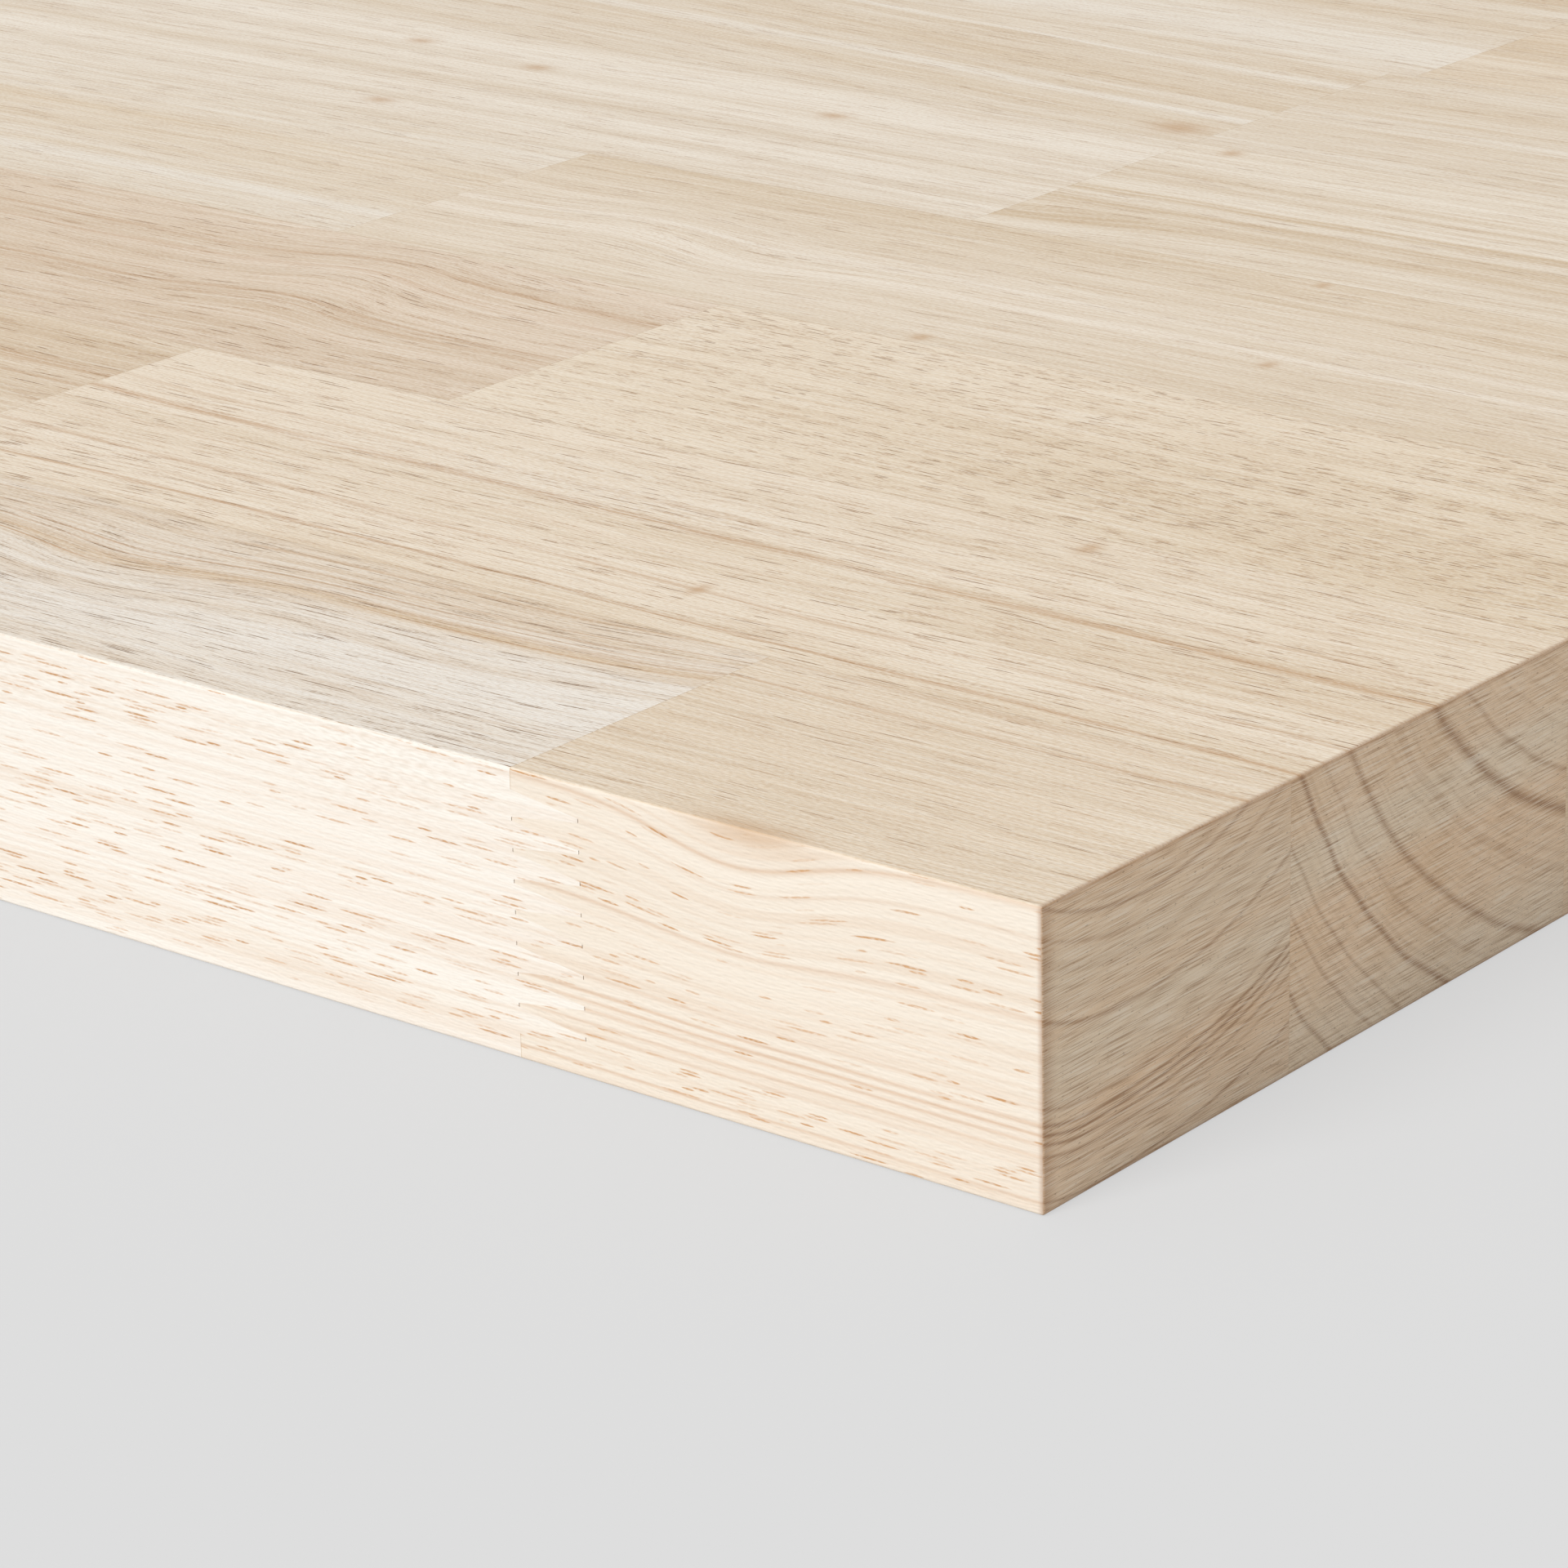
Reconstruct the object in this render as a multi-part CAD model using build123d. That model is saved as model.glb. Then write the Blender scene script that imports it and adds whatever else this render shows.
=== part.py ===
"""Butcher block countertop: short hardwood blocks, finger-jointed into staves and edge-glued.

Millimetres. The origin is at the middle of the underside. X runs along the grain and the near end
is the +X end, Y runs from the front edge to the back edge, and +Z is up. The board lies flat.
"""

import itertools
import os

from build123d import *

# The finished board
board_length = 1219.2
board_thickness = 38.1
arris_radius = 0.4

# The staves. The glued panel was ripped to its depth through the front and the back stave, so those
# two are narrower than the full ones between them
full_staves = 9
stave_width = 63.5
front_stave_width = 50.3
back_stave_width = 13.2
board_depth = front_stave_width + full_staves * stave_width + back_stave_width

# The block at the near end of each stave, from the front stave to the back stave
near_block_lengths = [79.3, 241.6, 191.0, 272.0, 190.0, 190.0, 185.0, 262.0, 128.0, 305.0, 218.0]

# The blocks that follow, taken in turn through the whole board
inner_block_lengths = [342.0, 287.0, 405.0, 318.0, 264.0, 371.0, 296.0]
inner_block_lengths += [432.0, 279.0, 353.0, 308.0, 388.0, 275.0]
shortest_block = 70.0

# The finger joint between two blocks of a stave
finger_pitch = 4.05
finger_length = 10.7
finger_tip_width = 0.5
finger_tip_gap = 0.1
top_shoulder = 2.8
least_bottom_shoulder = 2.8


def stave_edges():
    """The Y places of the glue lines, with the front and back edges at the two ends."""
    front = -board_depth / 2
    first_glue_line = front + front_stave_width
    glue_lines = [first_glue_line + stave * stave_width for stave in range(full_staves + 1)]
    return [front, *glue_lines, board_depth / 2]


def joint_places(stave, lengths):
    """The X places of one stave's joints, from the near end to the far end."""
    near_end = board_length / 2
    far_limit = -board_length / 2 + shortest_block
    joint = near_end - near_block_lengths[stave % len(near_block_lengths)]
    joints = []
    while joint >= far_limit:
        joints.append(joint)
        joint -= next(lengths)
    return joints


def finger_edge(joint, from_near_side):
    """The points of a block's jointed end in XZ, from the top shoulder down.

    The shoulders of the two blocks meet at the joint. The far block's fingers point to the near
    end. Both blocks share the flanks, and each finger stops a gap short of the valley that it
    enters: the block on the near side is cut back to the valley's floor, and its own fingers stop
    short of the joint.
    """
    valley = joint + finger_length
    finger_base = finger_pitch - finger_tip_width
    flank_slope = (finger_base - finger_tip_width) / 2 / finger_length
    low_x = joint + finger_tip_gap if from_near_side else joint
    high_x = valley if from_near_side else valley - finger_tip_gap
    low_half = finger_base / 2 - flank_slope * (low_x - joint)
    high_half = finger_base / 2 - flank_slope * (high_x - joint)
    fingers = int((board_thickness - top_shoulder - least_bottom_shoulder) / finger_pitch)
    first = board_thickness - top_shoulder - finger_base / 2
    points = [(joint, board_thickness), (joint, first + finger_base / 2)]
    for finger in range(fingers):
        middle = first - finger * finger_pitch
        if finger > 0:
            points.append((low_x, middle + low_half))
        points.append((high_x, middle + high_half))
        points.append((high_x, middle - high_half))
        if finger < fingers - 1:
            points.append((low_x, middle - low_half))
    last = first - (fingers - 1) * finger_pitch
    return points + [(joint, last - finger_base / 2), (joint, 0)]


def square_end(place):
    """The points of a block's sawn end in XZ, from the top down."""
    return [(place, board_thickness), (place, 0)]


def block(near_points, far_points, front, back):
    """One block: its side outline, carried across the width of its stave."""
    outline = Polyline(*near_points, *reversed(far_points), close=True)
    side = Plane.XZ.offset(-front) * make_face(outline)
    return extrude(side, amount=-(back - front))


def eased_panel():
    """The glued panel after it was cut to size, with every outside edge lightly sanded round."""
    panel = Box(board_length, board_depth, board_thickness, align=(Align.CENTER, Align.CENTER, Align.MIN))
    return fillet(panel.edges(), radius=min(arris_radius, board_thickness / 3))


os.makedirs("parts", exist_ok=True)
panel = eased_panel()
edges = stave_edges()
lengths = itertools.cycle(inner_block_lengths)
for stave in range(len(edges) - 1):
    joints = joint_places(stave, lengths)
    near_sides = [square_end(board_length / 2)] + [finger_edge(joint, False) for joint in joints]
    far_sides = [finger_edge(joint, True) for joint in joints] + [square_end(-board_length / 2)]
    for count, (near_points, far_points) in enumerate(zip(near_sides, far_sides), start=1):
        name = f"stave_{stave + 1:02d}_block_{count}"
        piece = block(near_points, far_points, edges[stave], edges[stave + 1]) & panel
        piece.label = name
        export_step(piece, f"parts/{name}.step")
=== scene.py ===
import bmesh
import bpy
import math
import random
from mathutils import Matrix, Vector


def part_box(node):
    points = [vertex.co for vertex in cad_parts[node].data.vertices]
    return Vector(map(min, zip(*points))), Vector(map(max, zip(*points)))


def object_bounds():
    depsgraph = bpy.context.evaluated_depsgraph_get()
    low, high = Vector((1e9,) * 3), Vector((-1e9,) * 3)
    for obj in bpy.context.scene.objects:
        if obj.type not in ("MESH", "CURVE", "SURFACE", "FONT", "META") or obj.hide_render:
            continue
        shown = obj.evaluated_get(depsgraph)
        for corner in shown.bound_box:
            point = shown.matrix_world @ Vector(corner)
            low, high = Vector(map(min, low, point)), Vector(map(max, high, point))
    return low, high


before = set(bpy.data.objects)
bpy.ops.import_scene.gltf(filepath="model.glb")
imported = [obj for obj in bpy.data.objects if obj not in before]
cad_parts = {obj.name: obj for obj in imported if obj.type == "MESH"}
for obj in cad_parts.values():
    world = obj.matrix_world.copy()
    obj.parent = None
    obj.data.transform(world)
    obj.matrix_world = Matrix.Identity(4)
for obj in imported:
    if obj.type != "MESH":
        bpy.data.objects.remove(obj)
cad_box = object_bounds()


# The wood of the worktop's blocks: bare rubber-tree wood, sawn from small logs, planed, finger-jointed
# end to end into staves and glued edge to edge. Each block has the rings of its own log round a pith
# that mostly lies outside it, and open pores that show as short dashes along the grain.
def shade(red, green, blue):
    """A colour as it looks on a screen, 0 to 255, as the linear colour that a shader takes."""
    seen = [part / 255 for part in (red, green, blue)]
    return [part / 12.92 if part <= 0.04045 else ((part + 0.055) / 1.055) ** 2.4 for part in seen] + [1.0]


class Grain:
    """One socket of the wood's node trees. Arithmetic on it adds Math nodes to the same tree."""

    def __init__(self, socket):
        self.socket = socket

    def node(self, kind, settings, sockets, output=0):
        """Adds a node, makes its settings, then its sockets, and gives one of its outputs."""
        tree = self.socket.id_data
        node = tree.nodes.new(kind)
        for name, value in settings.items():
            if name == "stops":
                self.set_stops(node.color_ramp, value)
            else:
                setattr(node, name, value)
        for name, value in sockets.items():
            if isinstance(value, Grain):
                tree.links.new(value.socket, node.inputs[name])
            else:
                node.inputs[name].default_value = value
        return Grain(node.outputs[output])

    def set_stops(self, ramp, stops):
        """Gives a ramp its stops, each a place from 0 to 1 and a level of grey."""
        while len(ramp.elements) < len(stops):
            ramp.elements.new(1.0)
        for element, (place, level) in zip(ramp.elements, stops):
            element.position = place
        for element, (place, level) in zip(ramp.elements, stops):
            element.color = (level, level, level, 1.0)

    def output(self, name):
        """Another output of the node that this socket is on."""
        return Grain(self.socket.node.outputs[name])

    def maths(self, operation, *others, clamp=False):
        sockets = dict(enumerate((self, *others)))
        return self.node("ShaderNodeMath", {"operation": operation, "use_clamp": clamp}, sockets)

    def __add__(self, other):
        return self.maths("ADD", other)

    def __sub__(self, other):
        return self.maths("SUBTRACT", other)

    def __mul__(self, other):
        return self.maths("MULTIPLY", other)

    def __truediv__(self, other):
        return self.maths("DIVIDE", other)

    def __rsub__(self, other):
        return self.maths("MULTIPLY_ADD", -1.0, other)

    def __abs__(self):
        return self.maths("ABSOLUTE")

    def __gt__(self, other):
        return self.maths("GREATER_THAN", other)

    __radd__ = __add__
    __rmul__ = __mul__

    def clamped(self):
        return self.maths("MAXIMUM", 0.0, clamp=True)

    def larger(self, other):
        return self.maths("MAXIMUM", other)

    def rise(self, low, high):
        """0 below low, 1 above high, and an even smooth rise between them."""
        ends = {"Value": self, "From Min": low, "From Max": high}
        return self.node("ShaderNodeMapRange", {"interpolation_type": "SMOOTHSTEP"}, ends)

    def fall(self, low, high):
        """1 below low, 0 above high, and an even smooth fall between them."""
        ends = {"Value": self, "From Min": low, "From Max": high, "To Min": 1.0, "To Max": 0.0}
        return self.node("ShaderNodeMapRange", {"interpolation_type": "SMOOTHSTEP"}, ends)

    def mixed(self, other, share, blend="MIX"):
        """This colour with a share of another one."""
        settings = {"data_type": "RGBA", "blend_type": blend}
        return self.node("ShaderNodeMix", settings, {0: share, 6: self, 7: other}, 2)

    def beside(self, *others):
        """This value and one or two others as the parts of a vector."""
        return self.node("ShaderNodeCombineXYZ", {}, dict(enumerate((self, *others))))

    def parts(self):
        """The first part of this vector. Its outputs Y and Z are the others."""
        return self.node("ShaderNodeSeparateXYZ", {}, {0: self})

    def noise(self, steps, detail, seed):
        """Smooth noise at this place, 0.5 on average and mostly from 0.3 to 0.7.

        steps are its lengths along two or three axes, and detail adds that many finer layers to it.
        """
        scale = [1 / step for step in steps] + [0.0] * (3 - len(steps))
        moved = self.node("ShaderNodeVectorMath", {"operation": "MULTIPLY_ADD"}, {0: self, 1: scale, 2: seed})
        dimensions = {"noise_dimensions": f"{len(steps)}D"}
        return self.node("ShaderNodeTexNoise", dimensions, {"Vector": moved, "Scale": 1.0, "Detail": detail})

    def swell(self, middle, length, width):
        """1 at one place, falling smoothly to 0 at about twice a length along and a width across."""
        scale = (1 / length, 1 / width, 1 / width)
        moved = [-part * step for part, step in zip(middle, scale)]
        away = self.node("ShaderNodeVectorMath", {"operation": "MULTIPLY_ADD"}, {0: self, 1: scale, 2: moved})
        reach = away.node("ShaderNodeVectorMath", {"operation": "DOT_PRODUCT"}, {0: away, 1: away}, 1)
        return (reach * -1.0).maths("EXPONENT")

    def strokes(self, across, length, row, seed):
        """Short strokes along this value, in rows across another: their outline, and how bold each is.

        Each cell of a row holds one stroke, with its own length, place and boldness from 0 to 1. The
        sizes below are shares of the cell: half the stroke's length, its middle, and half its width.
        """
        least_half, spare_half = 0.1, 0.28
        first_middle, spare_middle = 0.35, 0.3
        half_width = 0.4
        soft_from = 0.35
        rows = across / row
        lane = rows.maths("FLOOR")
        offset = lane.node("ShaderNodeTexWhiteNoise", {"noise_dimensions": "1D"}, {"W": lane + seed})
        steps = self / length + offset
        cell = steps.maths("FLOOR").beside(lane, seed)
        dice = cell.node("ShaderNodeTexWhiteNoise", {"noise_dimensions": "3D"}, {"Vector": cell}, "Color")
        boldness = dice.parts()
        half_length = boldness.output("Y") * spare_half + least_half
        middle = boldness.output("Z") * spare_middle + first_middle
        from_middle = (steps.maths("FRACT") - middle) / half_length
        off_line = (rows.maths("FRACT") - 0.5) * (1 / half_width)
        outline = (from_middle * from_middle + off_line * off_line).fall(soft_from, 1.0)
        return outline, boldness


def new_group(name, takes, gives):
    """An empty node group with what it takes and gives, and a way to read and to fill these."""
    tree = bpy.data.node_groups.new(name, "ShaderNodeTree")
    for title, kind in takes.items():
        tree.interface.new_socket(title, in_out="INPUT", socket_type="NodeSocket" + kind)
    for title, kind in gives.items():
        tree.interface.new_socket(title, in_out="OUTPUT", socket_type="NodeSocket" + kind)
    taken = tree.nodes.new("NodeGroupInput")
    given = tree.nodes.new("NodeGroupOutput")

    def give(**values):
        for title, value in values.items():
            tree.links.new(value.socket, given.inputs[title.replace("_", " ")])

    return tree, [Grain(taken.outputs[title]) for title in takes], give


# Where a point of a block lies, and how the grain wanders there. Places are in millimetres from the
# board's near top corner: along the grain (negative into the board), back from the front edge, and up.
# The grain has long bends, of the block's own sway, with short ripples on them
mm = 0.001
low_corner, high_corner = cad_box
near_corner = Vector((high_corner.x, low_corner.y, high_corner.z))
board_length, board_depth, board_thickness = (high_corner - low_corner) / mm
bend_back_size = (130, 60, 60)
bend_up_size = (120, 60, 60)
bend_up_share = 0.7
ripple_size = (26, 9, 9)
ripple_height = 1.6
ripple_seed, bend_up_seed = 3.0, 5.0

flow, (seed, sway, slant, near_end), give = new_group(
    "hevea_flow",
    {"Seed": "Float", "Sway": "Float", "Slant": "Float", "Near End": "Float"},
    {"Place": "Vector", "Back": "Float", "Up": "Float", "Sawn": "Float", "Ripped": "Float",
     "Burnish": "Float"},
)
in_metres = Grain(flow.nodes.new("ShaderNodeTexCoord").outputs["Object"])
to_corner = {0: in_metres, 1: (1 / mm,) * 3, 2: near_corner / -mm}
place = in_metres.node("ShaderNodeVectorMath", {"operation": "MULTIPLY_ADD"}, to_corner)
x = place.parts()
y = x.output("Y")
z = x.output("Z")
back = y + (place.noise(bend_back_size, 0.0, seed) - 0.5) * (sway * 2.0) + (x - near_end) * slant
back = back + (place.noise(ripple_size, 0.0, seed + ripple_seed) - 0.5) * ripple_height
up = z + (place.noise(bend_up_size, 0.0, seed + bend_up_seed) - 0.5) * (sway * (2.0 * bend_up_share))

# The way a face looks tells a sawn end and a ripped edge from the planed faces. The sawn ends are
# burnished brown along their arrises: from a little inside the arris, and from further in at the sides
facing_from, facing_to = 0.5, 0.9
burnish_from, burnish_to = 0.9, 0.1
side_burnish_from, side_burnish_to = 3.2, -0.2
facing = x.node("ShaderNodeNewGeometry", {}, {}, "Normal").parts()
sawn = abs(facing).rise(facing_from, facing_to)
ripped = abs(facing.output("Y")).rise(facing_from, facing_to)
half_length, half_depth, half_thickness = board_length / 2, board_depth / 2, board_thickness / 2
end_close = abs(x + half_length).rise(half_length - burnish_from, half_length - burnish_to)
side_close = abs(y - half_depth).rise(half_depth - side_burnish_from, half_depth - side_burnish_to)
face_close = abs(z + half_thickness).rise(half_thickness - burnish_from, half_thickness - burnish_to)
burnish = end_close * side_close.larger(face_close)
give(Place=place, Back=back, Up=up, Sawn=sawn, Ripped=ripped, Burnish=burnish)

# The figure that all the blocks share. Each size is a length along the grain and a width across it, and
# those of the rings' figure are a width across the rings and a length along the grain. The saw took
# most of the fine fibres and flecks off the ripped edges
fibre_size = (34, 0.5)
streak_size = (150, 4.5)
fleck_size = (0.8, 0.22)
saw_mark_size = (8, 0.12)
ring_band_size = (8, 420)
ring_hair_size = (0.9, 160)
lost_if_ripped = 0.8

wood, taken, give = new_group(
    "hevea_wood",
    {"Seed": "Float", "Place": "Vector", "Back": "Float", "Up": "Float", "Sawn": "Float", "Ripped": "Float",
     "Burnish": "Float", "Radius": "Float", "Brown": "Float", "Zone": "Float", "Stain": "Float",
     "Knot": "Float", "Torn": "Float", "Glued": "Float", "Pale": "Color", "Deep": "Color",
     "Pore Colour": "Color", "Pore Length": "Float", "Pore Row": "Float", "Pore Share": "Float",
     "Pore Show": "Float"},
    {"Colour": "Color", "Roughness": "Float", "Normal": "Vector"},
)
seed, place, back, up, sawn, ripped, burnish, radius, brown, zone, stain, knot, torn, glued = taken[:14]
pale, deep, pore_colour, pore_length, pore_row, pore_share, pore_show = taken[14:]
x = place.parts()
y = x.output("Y")
z = x.output("Z")
planed = 1.0 - sawn
plain = planed - ripped * lost_if_ripped
along = x + (y - x) * sawn
across = back + (up - back) * sawn.larger(ripped)
on_face = along.beside(across)
fibre = on_face.noise(fibre_size, 1.0, seed)
streak = on_face.noise(streak_size, 1.0, seed).rise(0.3, 0.7)
fleck = on_face.noise(fleck_size, 0.0, seed)
saw_mark = y.beside(z).noise(saw_mark_size, 3.0, seed)
on_ring = radius.beside(x)
ring_band = on_ring.noise(ring_band_size, 2.0, seed).rise(0.3, 0.7)
ring_hair = on_ring.noise(ring_hair_size, 1.0, seed).rise(0.35, 0.75)

# The pores crowd in the streaks and the dark rings, and are shorter and fewer on the ripped edges
pores_in_plain, pores_in_streaks, pores_in_rings = 0.35, 1.1, 0.8
row_if_ripped = 0.42
shorter_if_ripped, fewer_if_ripped = 0.3, 0.2
row = pore_row.larger(ripped * row_if_ripped)
outline, boldness = along.strokes(across, pore_length * (1.0 - ripped * shorter_if_ripped), row, seed)
crowd = streak * pores_in_streaks + brown * pores_in_rings + pores_in_plain
share = crowd * pore_share * (1.0 - ripped * fewer_if_ripped)
bold = ((boldness - 1.0 + share) / share).clamped()
pores = outline * bold * planed * (fleck.rise(0.25, 0.6) * 0.6 + 0.4)

# The planed faces: between the block's two shades by the zone, the rings and the streaks, with the dark
# rings as broken brown lines. The ripped edges are a fresher and paler cut. What the rings and streaks
# add on average is taken off again, so that the zone sets the tone
figure_average = 0.37
ring_brown = shade(184, 136, 86)
fresh_cut = shade(229, 223, 214)
pore_orange = shade(196, 148, 100)
fibre_shadow = shade(196, 166, 130)
fibre_light = shade(240, 231, 217)
tone = zone + ring_band * 0.3 + streak * 0.3 + ring_hair * 0.15 - figure_average
colour = pale.mixed(deep, tone)
colour = colour.mixed(ring_brown, brown * (fibre.rise(0.3, 0.6) * 0.6 + 0.28))
colour = colour.mixed(fresh_cut, ripped * 0.6)
colour = colour.mixed(pore_orange, (ring_hair * 0.15 + brown * 0.4) * ripped)
colour = colour.mixed(fibre_shadow, fibre.rise(0.45, 0.75) * plain * 0.3)
colour = colour.mixed(fibre_light, fibre.fall(0.25, 0.5) * plain * 0.35)

# The sawn ends: darker, stained grey and warm brown in bands, with dark rings, the cut ends of the pores, and
# saw marks across them. Towards the foot they are painted a little paler: painted light against the shade
# there, where the floor beside them lies in the board's shadow
end_grain_tint = (1.0, 0.92, 0.82, 1.0)
end_grain_grey = shade(226, 209, 184)
end_grain_warm = shade(226, 187, 149)
# The pale colour of the light saw marks, which also paints the light at the foot of the sawn ends
end_pale_and_painted_light = shade(232, 220, 202)
end_grain_ring = shade(134, 96, 64)
end_grain_pore = shade(96, 70, 46)
end_grain_dark = shade(146, 112, 82)
painted_light_low, painted_light_high = -37.0, -23.0
broken_ring = brown * (saw_mark.rise(0.3, 0.6) * 0.4 + 0.45) + ring_hair * 0.12
grey_to_warm = {0: stain, 6: end_grain_grey, 7: end_grain_warm}
stained = stain.node("ShaderNodeMix", {"data_type": "RGBA"}, grey_to_warm, 2)
colour = colour.mixed(end_grain_tint, sawn, "MULTIPLY")
colour = colour.mixed(stained, sawn * 0.5)
# Painted light: the foot of each sawn end is made paler, against the shade where the floor beside it lies in
# the board's shadow
colour = colour.mixed(end_pale_and_painted_light, z.fall(painted_light_low, painted_light_high) * sawn * 0.15)
colour = colour.mixed(end_grain_ring, broken_ring * sawn)
colour = colour.mixed(end_grain_pore, fleck.rise(0.78, 0.9) * sawn * 0.5)
colour = colour.mixed(end_grain_dark, saw_mark.rise(0.48, 0.72) * sawn * 0.6)
colour = colour.mixed(end_pale_and_painted_light, saw_mark.fall(0.3, 0.52) * sawn * 0.6)

# Fine flecks, the pores, which are darkest at their boldest, and knots, burnish and glue over them
dark_pore = shade(112, 74, 40)
knot_brown = shade(190, 148, 102)
burnish_brown = shade(150, 100, 56)
glue = shade(178, 150, 116)
dash = pore_colour.mixed(pore_orange, ripped)
colour = colour.mixed(fibre_shadow, fleck.rise(0.5, 0.8) * plain * 0.25)
colour = colour.mixed(fibre_light, fleck.fall(0.2, 0.5) * plain * 0.25)
colour = colour.mixed(dash, pores * pore_show.larger(ripped))
colour = colour.mixed(dark_pore, outline * bold.rise(0.75, 1.0) * plain * (pore_show * 0.6))
colour = colour.mixed(knot_brown, knot * 0.55)
colour = colour.mixed(burnish_brown, burnish * 0.4)
colour = colour.mixed(glue, glued * (planed * 0.4 + 0.1))

# Raised fibres where the planer tore them, as a light and dark fur that follows the bump's heights: the torn
# wood with painted light on the fibres' raised tops and painted shade between them; and the sheen
relief_size = (1.6, 0.3, 0.3)
relief_depth = 0.12
torn_painted_light = shade(244, 240, 232)
torn_painted_shade = shade(188, 168, 142)
planed_roughness, streak_gloss, sawn_roughness = 0.6, 0.08, 0.15
relief = place.noise(relief_size, 0.0, seed)
# Painted light on the raised tops of the torn fibres, and painted shade in the hollows between them
colour = colour.mixed(torn_painted_light, relief.rise(0.5, 0.7) * torn * 0.6)
colour = colour.mixed(torn_painted_shade, relief.fall(0.3, 0.5) * torn * 0.3)
roughness = planed_roughness - streak * streak_gloss + sawn * sawn_roughness
bump = {"Strength": 0.6, "Distance": relief_depth * mm, "Height": relief}
give(Colour=colour, Roughness=roughness, Normal=relief.node("ShaderNodeBump", {}, bump))

# The wood's pale and deep shades, its two colours of pores, and the glue lines: how high the shoulders
# of a finger joint lie, how far from the joint the glue shows, and the outer edges that have none
tan, deep_tan = shade(228, 211, 188), shade(208, 184, 153)
cream, deep_cream = shade(231, 217, 197), shade(215, 195, 167)
milk, deep_milk = shade(234, 225, 211), shade(220, 204, 182)
shades_of_wood = ((tan, deep_tan), (cream, deep_cream), (milk, deep_milk))
pore_brown = shade(168, 122, 74)
pore_grey = shade(154, 124, 92)
top_shoulder, bottom_shoulder = -2.8, -34.7
glue_width = 0.2
outer_edge = 1.0
wood_gloss = 0.35
finished_blocks = set()


def hevea(name, pith, lean=(0.0, 0.0), sway=3.0, slant=0.0, pale=cream, deep=deep_cream, tones=(),
          stains=(), fade=0.0, rings=(), humps=(), knots=(), torn_spots=(), pore_length=14.0,
          pore_row=0.42, pore_share=0.55, pore_show=0.8, pore_colour=pore_brown):
    """Gives one block its wood.

    pith is where the centre of its tree crosses the board's near end, back and up, and lean is how far
    it drifts for each millimetre along. sway is how far the grain wanders, and slant how far it runs off
    the line of the stave. tones are places back from the front edge where the wood is pale, 0, or deep,
    1, and fade is how much of that is lost for each millimetre into the board. stains are heights where
    a sawn end is grey, 0, or warm brown, 1. rings are its dark lines, each a distance from the pith, a
    half width and a strength. humps are places where the grain rises round a hidden knot, each a place,
    a length, a width and a lift back and up. knots are small brown spots, each a place, a length and a
    width. torn_spots are where the planer tore the fibres, each a place, a length, a width and a
    strength. pore_length and pore_row are the room that each pore has along and across the grain,
    pore_share how many of them are open, and pore_show how strongly they show.
    """
    low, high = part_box(name)
    far_x, front_y = ((low - near_corner) / mm).xy
    near_x, back_y = ((high - near_corner) / mm).xy
    material = bpy.data.materials.new("hevea_" + name)
    material.use_nodes = True
    tree = material.node_tree
    shader = tree.nodes["Principled BSDF"]
    dice = random.Random(name)
    furthest_seed = 90
    seed = dice.uniform(0, furthest_seed)

    group = tree.nodes.new("ShaderNodeGroup")
    group.node_tree = flow
    for title, value in {"Seed": seed, "Sway": sway, "Slant": slant, "Near End": near_x}.items():
        group.inputs[title].default_value = value
    place = Grain(group.outputs["Place"])
    back = place.output("Back")
    up = place.output("Up")
    x = place.parts()
    y = x.output("Y")
    z = x.output("Z")

    for middle, length, width, lift_back, lift_up in humps:
        swell = place.swell(middle, length, width)
        back = back + swell * lift_back
        up = up + swell * lift_up

    # The dark rings, as a ramp from just inside the first one to just outside the last
    ring_back = back - pith[0] - x * lean[0]
    ring_up = up - pith[1] - x * lean[1]
    radius = (ring_back * ring_back + ring_up * ring_up).maths("SQRT")
    brown = 0.0
    if rings:
        margin = 1.0
        inner = min(ring[0] - ring[1] for ring in rings) - margin
        outer = max(ring[0] + ring[1] for ring in rings) + margin
        stops = [(0.0, 0.0)]
        for distance, half_width, strength in sorted(rings):
            for side, level in ((-half_width, 0.0), (0.0, strength), (half_width, 0.0)):
                stops.append(((distance + side - inner) / (outer - inner), level))
        ring_share = (radius - inner) / (outer - inner)
        brown = ring_share.node("ShaderNodeValToRGB", {"stops": sorted(stops)}, {0: ring_share})

    # The pale and deep zones across the stave, and the stains up a sawn end
    stave_width = back_y - front_y
    zones, bands = 7, 5
    tones = tones or [(front_y + stave_width * step / zones, dice.random()) for step in range(zones + 1)]
    stops = [((spot - front_y) / stave_width, level) for spot, level in tones]
    spot = (back - front_y) / stave_width
    zone = spot.node("ShaderNodeValToRGB", {"stops": stops}, {0: spot}) + (x - near_x) * fade
    stains = stains or [(-board_thickness * step / bands, dice.random()) for step in range(bands, -1, -1)]
    stops = [(height / board_thickness + 1, level) for height, level in stains]
    spot = up / board_thickness + 1.0
    stain = spot.node("ShaderNodeValToRGB", {"stops": stops}, {0: spot})

    knot = 0.0
    for middle, length, width in knots:
        knot = place.swell(middle, length, width) + knot
    torn = 0.0
    for middle, length, width, strength in torn_spots:
        torn = place.swell(middle, length, width) * strength + torn

    # The glue: along both sides of the stave, and on the shoulders of the finger joint at the far end
    glued = 0.0
    for glue_y in (front_y, back_y):
        if outer_edge < glue_y < board_depth - outer_edge:
            glued = abs(y - glue_y).fall(0.0, glue_width) + glued
    on_shoulder = abs(z - (top_shoulder + bottom_shoulder) / 2) > (top_shoulder - bottom_shoulder) / 2
    if far_x > outer_edge - board_length:
        glued = abs(x - far_x).fall(0.0, glue_width) * on_shoulder + glued

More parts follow.
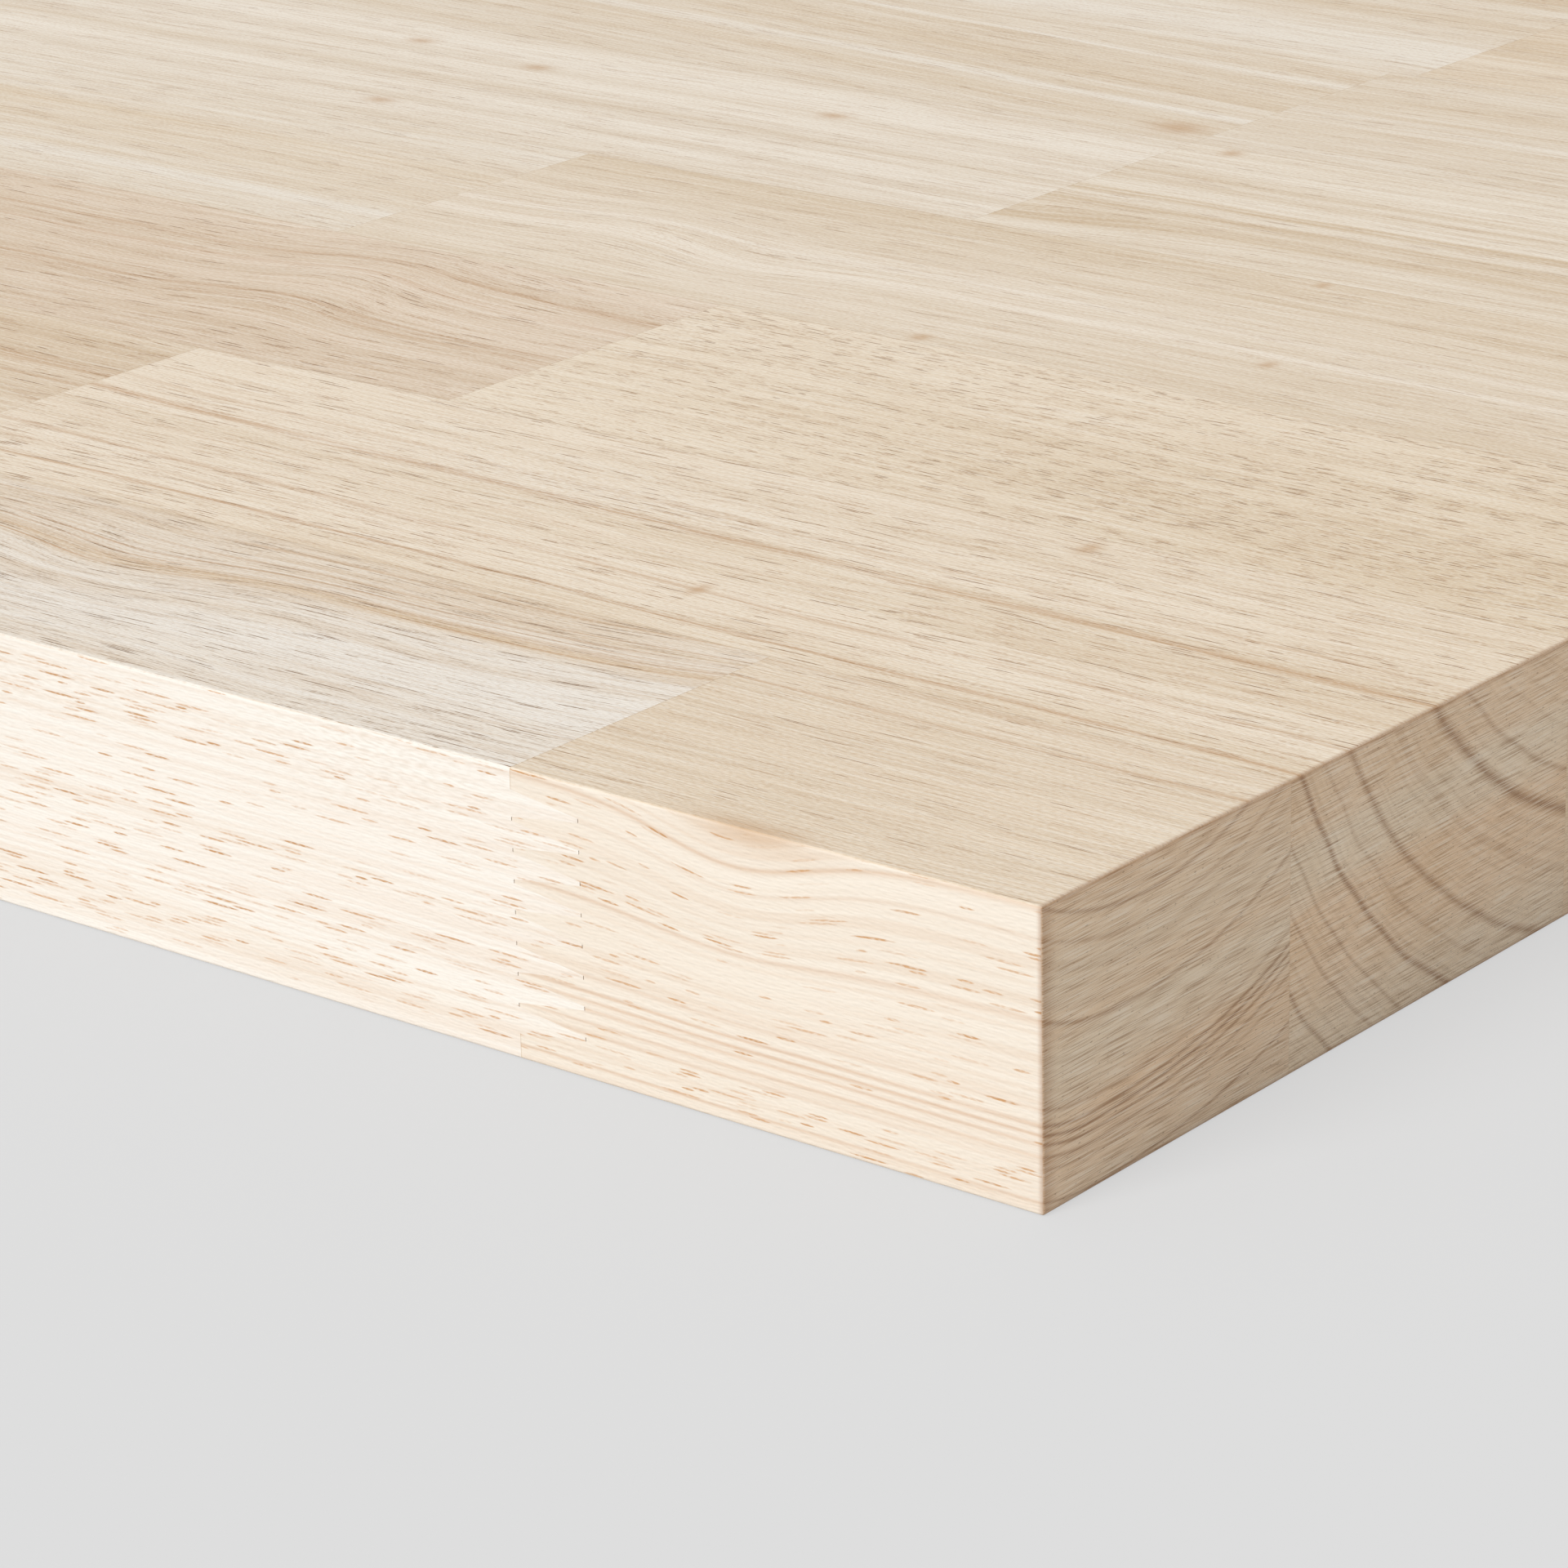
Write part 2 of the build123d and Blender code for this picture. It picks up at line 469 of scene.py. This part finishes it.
    sockets = {"Seed": seed, "Place": place, "Back": back, "Up": up, "Radius": radius, "Brown": brown}
    for title in ("Sawn", "Ripped", "Burnish"):
        sockets[title] = place.output(title)
    sockets |= {"Zone": zone, "Stain": stain, "Knot": knot, "Torn": torn, "Glued": glued, "Pale": pale}
    sockets |= {"Deep": deep, "Pore Colour": pore_colour, "Pore Length": pore_length, "Pore Row": pore_row}
    sockets |= {"Pore Share": pore_share, "Pore Show": pore_show}
    finish = place.node("ShaderNodeGroup", {"node_tree": wood}, sockets)
    tree.links.new(finish.socket, shader.inputs["Base Color"])
    tree.links.new(finish.output("Roughness").socket, shader.inputs["Roughness"])
    tree.links.new(finish.output("Normal").socket, shader.inputs["Normal"])
    shader.inputs["Specular IOR Level"].default_value = wood_gloss

    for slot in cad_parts[name].material_slots:
        slot.material = material
    finished_blocks.add(name)


# The front stave, ripped along its front edge: its near block is short and even in colour, with a swirl
# round a hidden knot under its front arris. The next one, finger-jointed to it, is whiter, with a brown
# band of rings that dips and climbs along the top.
hevea(
    "stave_01_block_1",
    pith=(21, 45), sway=1.2, pale=shade(229, 212, 189), deep=shade(219, 200, 174), pore_show=0.6,
    tones=[(0, 0.6), (4, 0.4), (25, 0.4), (38, 0.5), (50, 0.35)], pore_row=0.32, pore_share=0.45,
    stains=[(-38, 0.6), (-33, 0.8), (-26, 1.0), (-23, 0.3), (-18, 0.0), (-15, 0.6), (-10, 0.2), (-5, 0.5),
            (0, 0.9)],
    rings=[(49.7, 0.4, 0.55), (53.0, 0.5, 0.35), (61.7, 0.4, 0.6), (70.5, 0.5, 0.4), (72.3, 0.35, 0.8),
           (73.4, 0.35, 0.9), (74.5, 0.3, 0.8), (76.0, 0.3, 0.5), (77.5, 0.4, 0.4), (81.8, 0.35, 0.7)],
    humps=[((-45, 0, -3), 15, 14, 0, 4.5), ((0, 0, -30), 200, 16, 0, 2.6)],
    knots=[((-42, 0, 0), 9, 2.5)],
)
hevea(
    "stave_01_block_2",
    pith=(-20, -60), sway=1.0, pale=shade(237, 230, 220), deep=shade(217, 193, 162),
    pore_share=0.8, pore_show=1.0, pore_length=16.0, pore_row=0.3, pore_colour=pore_grey,
    torn_spots=[((-100, 1, -3), 24, 8, 0.5), ((-180, 0, -5), 40, 7, 0.35)],
    tones=[(0, 0.1), (31, 0.15), (35, 0.95), (38, 0.7), (50, 0.6)],
    rings=[(80.9, 0.35, 1.0), (82.2, 1.2, 0.4), (83.4, 0.3, 0.9), (84.6, 0.3, 0.8), (86.5, 0.3, 0.6),
           (90.0, 0.4, 0.5)],
    humps=[((-178, 28, 0), 20, 14, 5, 0), ((-60, 40, 0), 32, 25, -7, 0)],
)

# The second stave, glued to the front one: a long block whose rings stand on edge at the near end, so
# that they run along the top as straight brown lines, and then a tan block with two more of them.
hevea(
    "stave_02_block_1",
    pith=(136, 40), lean=(-0.031, 0.0), sway=1.0, pale=shade(236, 221, 200), deep=shade(217, 196, 166),
    fade=0.002,
    tones=[(50, 0.6), (56, 0.5), (60, 0.1), (66, 0.2), (72, 0.5), (80, 0.6), (84, 0.8), (87, 0.4),
           (100, 0.3), (114, 0.4)],
    stains=[(-38, 0.2), (-33, 0.3), (-28, 0.8), (-18, 1.0), (-15, 0.2), (-10, 0.0), (-7, 0.7), (0, 0.8)],
    rings=[(61.8, 0.8, 0.3), (67.0, 1.3, 0.75), (74.5, 0.8, 0.2), (83.2, 1.0, 0.5), (88.0, 0.4, 0.3),
           (92.7, 0.8, 0.8), (98.5, 0.5, 0.3), (103.0, 0.5, 0.4), (109.0, 0.6, 0.6)],
    knots=[((-72, 109.5, 0), 1.4, 2.4), ((-104, 66, 0), 1.2, 2.4)], torn_spots=[((-150, 93, 0), 40, 10, 0.5)],
    pore_row=0.36, pore_share=0.75,
)
hevea(
    "stave_02_block_2",
    pith=(140, 60), sway=1.5, pale=tan, deep=deep_tan,
    tones=[(50, 0.3), (78, 0.2), (85, 0.9), (90, 0.5), (114, 0.6)],
    rings=[(75.0, 2.0, 0.5), (79.0, 0.7, 0.4)],
)

# The third stave, finger-jointed and glued as the others are: a block cut near the bark, all short open
# pores, and a tan one whose grain arches over a hidden knot.
hevea(
    "stave_03_block_1",
    pith=(150, -300), pale=shade(235, 220, 198), deep=shade(219, 199, 170), fade=0.004,
    tones=[(114, 0.8), (140, 0.9), (160, 0.7), (177, 0.6)], pore_length=8.0, pore_row=0.37, pore_share=1.0,
    pore_show=0.8,
)
hevea(
    "stave_03_block_2",
    pith=(260, 10), pale=shade(240, 225, 208), deep=shade(217, 196, 171), fade=-0.002,
    tones=[(114, 0.6), (130, 0.8), (150, 0.6), (158, 0.8), (163, 0.95), (170, 0.5), (177, 0.4)],
    rings=[(98, 1.6, 0.5), (105, 1.5, 0.4), (121, 1.2, 0.5), (124, 1.0, 0.4)],
    humps=[((-250, 160, 0), 18, 30, -6, 0)],
)

# The fourth stave: pale planed wood with two milky wavy lines and a few pin knots in its near block, and
# a milky second block with one deep streak.
hevea(
    "stave_04_block_1",
    pith=(200, 120), sway=1.5, pale=shade(236, 224, 207), deep=shade(217, 198, 171), pore_show=0.4,
    tones=[(178, 0.7), (195, 0.6), (199, 0.5), (201, 0.0), (203, 0.5), (206, 0.6), (209, 0.0), (211, 0.5),
           (218, 0.6), (225, 0.65), (241, 0.75)],
    humps=[((-232, 210, 0), 18, 14, -4, 0), ((-205, 196, 0), 16, 10, 4, 0)],
    knots=[((-102, 197, 0), 1.4, 1.8), ((-154, 180, 0), 1.6, 2.0), ((-120, 239, 0), 1.2, 1.6)],
)
hevea(
    "stave_04_block_2",
    pith=(300, 90), sway=1.5, pale=milk, deep=shade(222, 203, 176), pore_show=0.4,
    tones=[(178, 0.4), (187, 0.4), (190, 0.0), (193, 0.5), (212, 0.6), (218, 0.9), (222, 0.3), (241, 0.15)],
)

# The fifth stave: a brown wedge that bends up to the glue line and a double dark line in its near block,
# and a pale block with soft marks.
hevea(
    "stave_05_block_1",
    pith=(180, 90), sway=0.8, pale=shade(235, 224, 207), deep=shade(208, 185, 153), pore_show=0.4,
    tones=[(241, 0.5), (252, 0.45), (255.5, 1.0), (258, 0.8), (264, 0.7), (266, 0.15), (268.5, 0.2),
           (269.5, 0.95), (270.3, 0.3), (271.2, 0.95), (272.5, 0.1), (276, 0.2), (279, 0.65), (282, 0.35),
           (284.5, 0.7), (288, 0.4), (291, 0.1), (299, 0.05), (304, 0.2)],
    humps=[((-200, 246, 0), 38, 12, 9, 0)],
    knots=[((-180, 302, 0), 2.0, 2.4)],
)
hevea(
    "stave_05_block_2",
    pith=(160, 80), pale=shade(237, 227, 212), deep=deep_milk, pore_show=0.4,
    tones=[(241, 0.6), (243, 0.5), (250, 0.3), (254, 0.6), (257, 0.2), (262, 0.2), (267, 0.4), (269, 0.9),
           (272, 0.4), (280, 0.4), (286, 0.6), (290, 0.1), (295, 0.1), (304, 0.5)],
    knots=[((-254, 286, 0), 3, 2), ((-323, 286, 0), 3, 2), ((-356, 291, 0), 3, 2), ((-330, 251, 0), 3, 2)],
)

# The sixth stave: two blocks of milky wood with long soft streaks. The second one's grain runs off the
# line of the stave, with two white lines in it and a knot.
hevea(
    "stave_06_block_1",
    pith=(400, 80), pale=milk, pore_show=0.4,
    tones=[(304, 0.6), (312, 0.5), (320, 0.55), (335, 0.5), (350, 0.6), (368, 0.7)],
)
hevea(
    "stave_06_block_2",
    pith=(420, 60), pale=milk, slant=0.075, pore_show=0.4,
    tones=[(304, 0.5), (310, 0.7), (318, 0.75), (320, 0.5), (322, 0.0), (323.5, 0.0), (326, 0.5), (333, 0.7),
           (340, 0.75), (348, 0.7), (351, 0.6), (352.5, 0.1), (354, 0.5), (362, 0.7), (368, 0.4)],
    knots=[((-198, 312, 0), 5, 4)],
)

# The seventh stave: a warm tan block at the near end with a deep streak, finger-jointed to a paler one
# with a white patch.
hevea(
    "stave_07_block_1",
    pith=(300, 80), deep=shade(212, 189, 158), pore_show=0.4,
    tones=[(368, 0.4), (390, 0.5), (396, 0.9), (408, 0.8), (412, 0.4), (431, 0.5)],
)
hevea(
    "stave_07_block_2",
    pith=(330, 90), pale=milk, slant=0.03, pore_show=0.4,
    tones=[(368, 0.5), (374, 0.2), (378, 0.0), (390, 0.0), (396, 0.4), (405, 0.7), (425, 0.7), (431, 0.5)],
)

# The other blocks, to the far end and the back edge: the same wood, from other logs. Each has a pith
# somewhere above or below the board, and eight faint rings about evenly spaced round the block's middle.
first_pith, last_pith = -60, 700
nearest_pith, furthest_pith = 30, 120
lean_back, lean_up, most_slant = 0.04, 0.03, 0.05
ring_reach, ring_step, ring_shift = 28, 8, 4
thinnest_ring, thickest_ring = 0.4, 1.0
faintest_ring, strongest_ring = 0.2, 0.6
for name in sorted(set(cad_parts) - finished_blocks):
    dice = random.Random(name + " log")
    pith_back = dice.uniform(first_pith, last_pith)
    pith_up = dice.choice((-1, 1)) * dice.uniform(nearest_pith, furthest_pith)
    lean = (dice.uniform(-lean_back, lean_back), dice.uniform(-lean_up, lean_up))
    pale, deep = dice.choice(shades_of_wood)
    low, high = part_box(name)
    middle = ((low + high) / 2 - near_corner) / mm
    reach = math.hypot(middle.y - pith_back, middle.z - pith_up)
    rings = []
    for step in range(-ring_reach, ring_reach + 1, ring_step):
        distance = reach + step + dice.uniform(-ring_shift, ring_shift)
        half_width = dice.uniform(thinnest_ring, thickest_ring)
        rings.append((distance, half_width, dice.uniform(faintest_ring, strongest_ring)))
    slant = dice.uniform(-most_slant, most_slant)
    hevea(name, (pith_back, pith_up), lean, slant=slant, pale=pale, deep=deep, rings=rings)


# The floor: a plain pale studio floor that the board lies on, matt, and wide enough for any view. The
# camera sees mostly its plain shade, with the board's shadow softened.
floor_reach = 15.0
floor_gap = 0.1 * mm
floor_grey = shade(224, 224, 224)
backdrop_grey = shade(221, 221, 221)
backdrop_share = 0.8
floor_mesh = bmesh.new()
bmesh.ops.create_grid(floor_mesh, x_segments=1, y_segments=1, size=floor_reach)
bmesh.ops.translate(floor_mesh, vec=(0, 0, -floor_gap), verts=floor_mesh.verts)
floor_data = bpy.data.meshes.new("studio_floor")
floor_mesh.to_mesh(floor_data)
floor_mesh.free()
floor = bpy.data.objects.new("studio_floor", floor_data)
bpy.context.scene.collection.objects.link(floor)
floor_paint = bpy.data.materials.new("studio_floor")
floor_paint.use_nodes = True
floor_tree = floor_paint.node_tree
matt = floor_tree.nodes["Principled BSDF"]
matt.inputs["Base Color"].default_value = floor_grey
matt.inputs["Roughness"].default_value = 1.0
matt.inputs["Specular IOR Level"].default_value = 0.0
seen = Grain(floor_tree.nodes.new("ShaderNodeLightPath").outputs["Is Camera Ray"])
backdrop = seen.node("ShaderNodeEmission", {}, {"Color": backdrop_grey})
layers = {0: seen * backdrop_share, 1: Grain(matt.outputs[0]), 2: backdrop}
softened = seen.node("ShaderNodeMixShader", {}, layers)
floor_tree.links.new(softened.socket, floor_tree.nodes["Material Output"].inputs["Surface"])
floor_data.materials.append(floor_paint)

# The light: one broad soft lamp above the front of the board and a little to its far end, in an even
# white room that fills the shadows
room_strength = 0.62
lamp_strength = 2.18
lamp_spread = math.radians(25)
towards_lamp = Vector((-0.16, -0.80, 0.57))
light_bounces = 2
world = bpy.data.worlds.new("studio")
bpy.context.scene.world = world
world.use_nodes = True
room = world.node_tree.nodes["Background"]
room.inputs["Color"].default_value = (1.0, 1.0, 1.0, 1.0)
room.inputs["Strength"].default_value = room_strength
sun = bpy.data.lights.new("soft_lamp", "SUN")
sun.energy = lamp_strength
sun.angle = lamp_spread
lamp = bpy.data.objects.new("soft_lamp", sun)
lamp.rotation_euler = towards_lamp.to_track_quat("Z", "Y").to_euler()
bpy.context.scene.collection.objects.link(lamp)
bpy.context.scene.cycles.diffuse_bounces = light_bounces

# The camera: about 0.6 m from the near corner, with a long lens, looking down over the front edge and
# along the board
lens_length = 128.4
corner_to_camera = Vector((345.3, -471.1, 230.2)) * mm
turn = math.radians(39.04)
tilt_down = math.radians(20.21)
roll = math.radians(-1.35)
nearest_seen = 0.01
camera_data = bpy.data.cameras.new("camera")
camera_data.lens = lens_length
camera_data.clip_start = nearest_seen
camera = bpy.data.objects.new("camera", camera_data)
aim = Matrix.Rotation(turn, 4, "Z") @ Matrix.Rotation(math.pi / 2 - tilt_down, 4, "X")
aim = aim @ Matrix.Rotation(roll, 4, "Z")
camera.matrix_world = Matrix.Translation(near_corner + corner_to_camera) @ aim
bpy.context.scene.collection.objects.link(camera)
bpy.context.scene.camera = camera
bpy.context.scene.view_settings.view_transform = "Standard"
